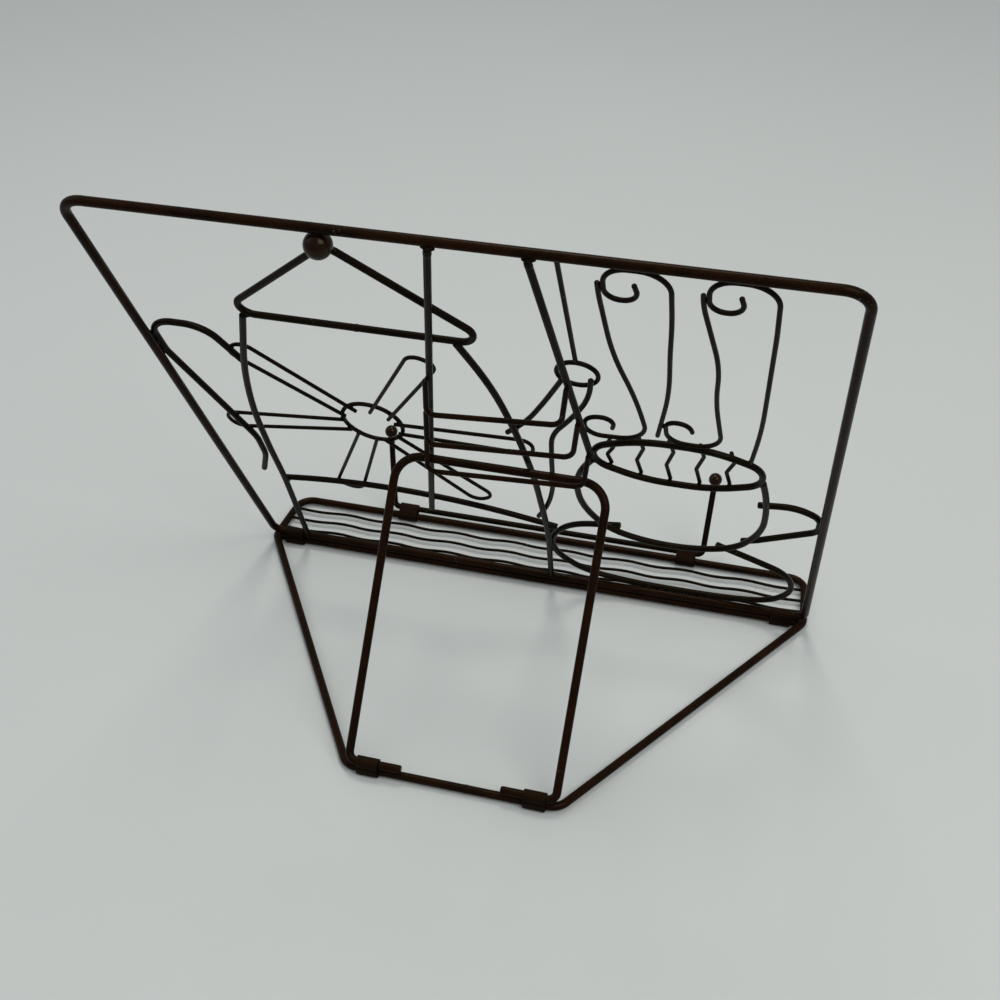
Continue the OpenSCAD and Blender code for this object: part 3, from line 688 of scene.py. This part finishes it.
class COOKBOOK_OT_welds(bpy.types.Operator):
    """Add a small fillet of metal wherever two wires of one body are welded"""

    bl_idname = "cookbook.welds"
    bl_label = "Welds"

    endings = {"bronze_paint": "_frame_welds", "dark_paint": "_figure_welds"}
    carried_by_bar = ("ladder_left", "ladder_right", "spout_stay")  # wires that end under the top bar
    unwelded = {"lid_knob", "pot_lid"}  # the knob sits on the lid's peak with no fillet that shows
    # Radii of a weld along its wire, beside it and across the gap, in weld sizes
    fillet = Vector((1.15, 1.0, 0.62))
    bar_fillet = Vector((1.7, 0.8, 0.7))
    fillet_lump = 0.12
    bar_fillet_shift = 0.15  # share of the way from the weld's middle to the wire's end
    wire_reach = 5 * MM  # within which a wire's direction is read

    def execute(self, context):
        detail = context.scene.stand_detail
        for body in ("base", "panel"):
            wires = [name for name in BODIES[body] if name not in STRAPS]
            fillets = {slot: bmesh.new() for slot in self.endings}
            for i, first in enumerate(wires):
                for second in wires[i + 1:]:
                    if {first, second} != self.unwelded:
                        self.weld_pair(fillets, first, second, detail)
            for slot, ending in self.endings.items():
                if fillets[slot].verts:
                    finish_piece(fillets[slot], body + ending, body, WIRE_PAINTS[slot]())
        return {"FINISHED"}

    def weld_pair(self, fillets, first, second, detail):
        """Adds the fillets between two wires, in the frame's paint where one of them is the frame's."""
        reach = detail.weld_reach
        low_a, high_a = node_box(first)
        low_b, high_b = node_box(second)
        if any(low_a[k] - reach > high_b[k] or low_b[k] - reach > high_a[k] for k in range(3)):
            return
        size = min(wire_radius(first), wire_radius(second)) * detail.weld_size
        slot = "bronze_paint" if "bronze_paint" in (SLOTS[first], SLOTS[second]) else "dark_paint"
        carried = [name for name in (first, second) if name in self.carried_by_bar]
        for middle, across in weld_spots(first, second, reach, detail.weld_spread):
            if carried and "panel_frame" in (first, second):
                self.add_bar_weld(fillets, carried[0], middle, across, detail)
            else:
                along = wire_direction(first, middle, self.wire_reach)
                add_blob(fillets[slot], middle, across, along, self.fillet * size, self.fillet_lump)

    def add_bar_weld(self, fillets, name, middle, across, detail):
        """A smooth cap over a wire's end under the top bar, and a fillet along the bar beside it."""
        end, outward, radius = min(wire_ends(name), key=lambda found: (found[0] - middle).length)
        size = radius * detail.bar_weld_size
        beside = middle.lerp(end, self.bar_fillet_shift)
        cap = (size, size, 2 * radius)
        add_blob(fillets["dark_paint"], end - outward * radius, outward, ALONG_BARS, cap)
        add_blob(fillets["bronze_paint"], beside, across, ALONG_BARS, self.bar_fillet * size)


class COOKBOOK_OT_wire_ends(bpy.types.Operator):
    """Round the cut ends of the wires"""

    bl_idname = "cookbook.wire_ends"
    bl_label = "Wire ends"

    slots = {"panel": "dark_paint", "prop_strut": "bronze_paint"}

    def execute(self, context):
        share = context.scene.stand_detail.end_round
        for body, slot in self.slots.items():
            bm = bmesh.new()
            for name in BODIES[body]:
                if name not in BALLS:
                    for middle, direction, radius in wire_ends(name):
                        add_rounded_end(bm, middle, direction, radius, radius * share)
            finish_piece(bm, body + "_wire_ends", body, WIRE_PAINTS[slot]())
        return {"FINISHED"}


class COOKBOOK_OT_seams(bpy.types.Operator):
    """Add the swollen seams where the closed wires were butt welded"""

    bl_idname = "cookbook.seams"
    bl_label = "Seams"

    # Where the seams are along the base's rear bar and the panel's bottom bar
    base_seam = -7.5 * MM
    panel_seam = 21.0 * MM
    length = 1.5  # half of a seam's length, in radii
    lump = 0.02

    def execute(self, context):
        swell = context.scene.stand_detail.seam_swell
        low, high = node_box("base_frame")
        bar = wire_radius("base_frame")
        bm = bmesh.new()
        self.add_seam(bm, Vector((self.base_seam, high.y - bar, (low.z + high.z) / 2)), bar, swell)
        finish_piece(bm, "base_seam", "base", bronze_paint())

        low, high = node_box("pot_lid")
        lid = wire_radius("pot_lid")
        bm = bmesh.new()
        bottom_bar = joint_point("panel_hinge") + ALONG_BARS * self.panel_seam
        self.add_seam(bm, bottom_bar, wire_radius("panel_frame"), swell)
        self.add_seam(bm, Vector(((low.x + high.x) / 2, low.y + lid, low.z + lid)), lid, swell)
        finish_piece(bm, "panel_seams", "panel", dark_paint())
        return {"FINISHED"}

    def add_seam(self, bm, middle, radius, swell):
        radii = (radius + swell, radius + swell, radius * self.length)
        add_blob(bm, middle, ALONG_BARS, None, radii, self.lump)


class COOKBOOK_OT_stage(bpy.types.Operator):
    """Set the pale floor, the soft lamps and the camera"""

    bl_idname = "cookbook.stage"
    bl_label = "Stage"

    # The camera's place in metres, its line of sight, its roll in degrees and its lens in millimetres
    camera_place = (-0.1307, 0.5375, 0.4892)
    camera_sight = (0.2072, -0.7599, -0.6162)
    camera_roll = 0.613
    camera_lens = 48.55
    sensor_width = 36.0
    nearest_seen = 0.01

    # Each lamp's place and width in metres, and its tone
    lamps = {
        "key": ((-0.9, 0.7, 1.5), 1.2, (1.0, 0.985, 0.95)),
        "fill": ((1.2, 0.2, 1.1), 1.2, (0.92, 0.96, 1.0)),
        "back": ((0.15, -0.45, 1.6), 0.5, (1.0, 0.97, 0.92)),
    }
    lamp_aim = (0, 0.05, 0.1)

    floor_reach = 6.0  # metres from the stand to the floor's edge
    floor_cloud = 0.985  # how much the floor's darker clouds keep of its tone
    floor_roughness = 0.6
    floor_gloss = 0.2

    def execute(self, context):
        stage = context.scene.stand_stage
        context.scene.view_settings.view_transform = "Standard"
        self.add_floor(context, stage)
        self.add_room(context, stage)
        powers = {"key": stage.key_power, "fill": stage.fill_power, "back": stage.back_power}
        for name, (place, width, tone) in self.lamps.items():
            self.add_lamp(context, name + "_lamp", place, width, powers[name], tone)
        self.add_camera(context)
        return {"FINISHED"}

    def add_camera(self, context):
        data = bpy.data.cameras.new("photo_camera")
        data.sensor_fit = "HORIZONTAL"
        data.sensor_width = self.sensor_width
        data.lens = self.camera_lens
        data.clip_start = self.nearest_seen
        camera = bpy.data.objects.new("photo_camera", data)
        context.scene.collection.objects.link(camera)
        sight = Vector(self.camera_sight).normalized()
        right = Vector((sight.y, -sight.x, 0)).normalized()
        down = sight.cross(right)
        roll = math.radians(self.camera_roll)
        turned_right = right * math.cos(roll) + down * math.sin(roll)
        turned_up = right * math.sin(roll) - down * math.cos(roll)
        axes = Matrix((turned_right, turned_up, -sight)).transposed().to_4x4()
        camera.matrix_world = Matrix.Translation(self.camera_place) @ axes
        context.scene.camera = camera

    def add_lamp(self, context, name, place, width, power, tone):
        data = bpy.data.lights.new(name, "AREA")
        data.shape = "DISK"
        data.size = width
        data.energy = power
        data.color = tone
        lamp = bpy.data.objects.new(name, data)
        context.scene.collection.objects.link(lamp)
        turn = (Vector(self.lamp_aim) - Vector(place)).to_track_quat("-Z", "Y")
        lamp.matrix_world = Matrix.Translation(place) @ turn.to_matrix().to_4x4()

    @staticmethod
    def add_room(context, stage):
        world = bpy.data.worlds.new("soft_room")
        world.use_nodes = True
        background = world.node_tree.nodes["Background"]
        background.inputs["Color"].default_value = (*stage.sky_tone, 1.0)
        background.inputs["Strength"].default_value = stage.sky_level
        context.scene.world = world

    def add_floor(self, context, stage):
        bm = bmesh.new()
        bmesh.ops.create_grid(bm, x_segments=4, y_segments=4, size=self.floor_reach)
        mesh = bpy.data.meshes.new("table_floor")
        bm.to_mesh(mesh)
        bm.free()
        floor = bpy.data.objects.new("table_floor", mesh)
        context.scene.collection.objects.link(floor)
        made = bpy.data.materials.new("pale_floor")
        made.use_nodes = True
        tree = made.node_tree
        shader = tree.nodes["Principled BSDF"]
        place = tree.nodes.new("ShaderNodeTexCoord").outputs["Object"]
        clouds = add_range(tree, add_noise(tree, place, scale=3.0, detail=2.0), low=0.3, high=0.7)
        tone = add_mix(tree, clouds, shade(stage.table_tone, self.floor_cloud), stage.table_tone)
        tree.links.new(tone, shader.inputs["Base Color"])
        shader.inputs["Roughness"].default_value = self.floor_roughness
        shader.inputs["Specular IOR Level"].default_value = self.floor_gloss
        mesh.materials.append(made)


class COOKBOOK_PT_panel(bpy.types.Panel):
    """The stand's finish, piece by piece"""

    bl_idname = "COOKBOOK_PT_panel"
    bl_label = "Cookbook stand"
    bl_space_type = "VIEW_3D"
    bl_region_type = "UI"
    bl_category = "Cookbook stand"

    def draw(self, context):
        layout = self.layout
        for settings in (context.scene.stand_paint, context.scene.stand_detail, context.scene.stand_stage):
            box = layout.box()
            for name in settings.__annotations__:
                box.prop(settings, name)
        for operator in OPERATORS:
            layout.operator(operator.bl_idname)


SETTINGS = {
    "stand_paint": StandPaintSettings,
    "stand_detail": StandDetailSettings,
    "stand_stage": StandStageSettings,
}
OPERATORS = (
    COOKBOOK_OT_stage,
    COOKBOOK_OT_wire,
    COOKBOOK_OT_straps,
    COOKBOOK_OT_balls,
    COOKBOOK_OT_welds,
    COOKBOOK_OT_wire_ends,
    COOKBOOK_OT_seams,
)
CLASSES = (*SETTINGS.values(), *OPERATORS, COOKBOOK_PT_panel)


def register():
    for made in CLASSES:
        bpy.utils.register_class(made)
    for name, kind in SETTINGS.items():
        setattr(bpy.types.Scene, name, PointerProperty(type=kind))


def unregister():
    for name in SETTINGS:
        delattr(bpy.types.Scene, name)
    for made in reversed(CLASSES):
        bpy.utils.unregister_class(made)


def main():
    register()
    for operator in OPERATORS:
        group, name = operator.bl_idname.split(".")
        getattr(getattr(bpy.ops, group), name)()


if __name__ == "__main__":
    main()
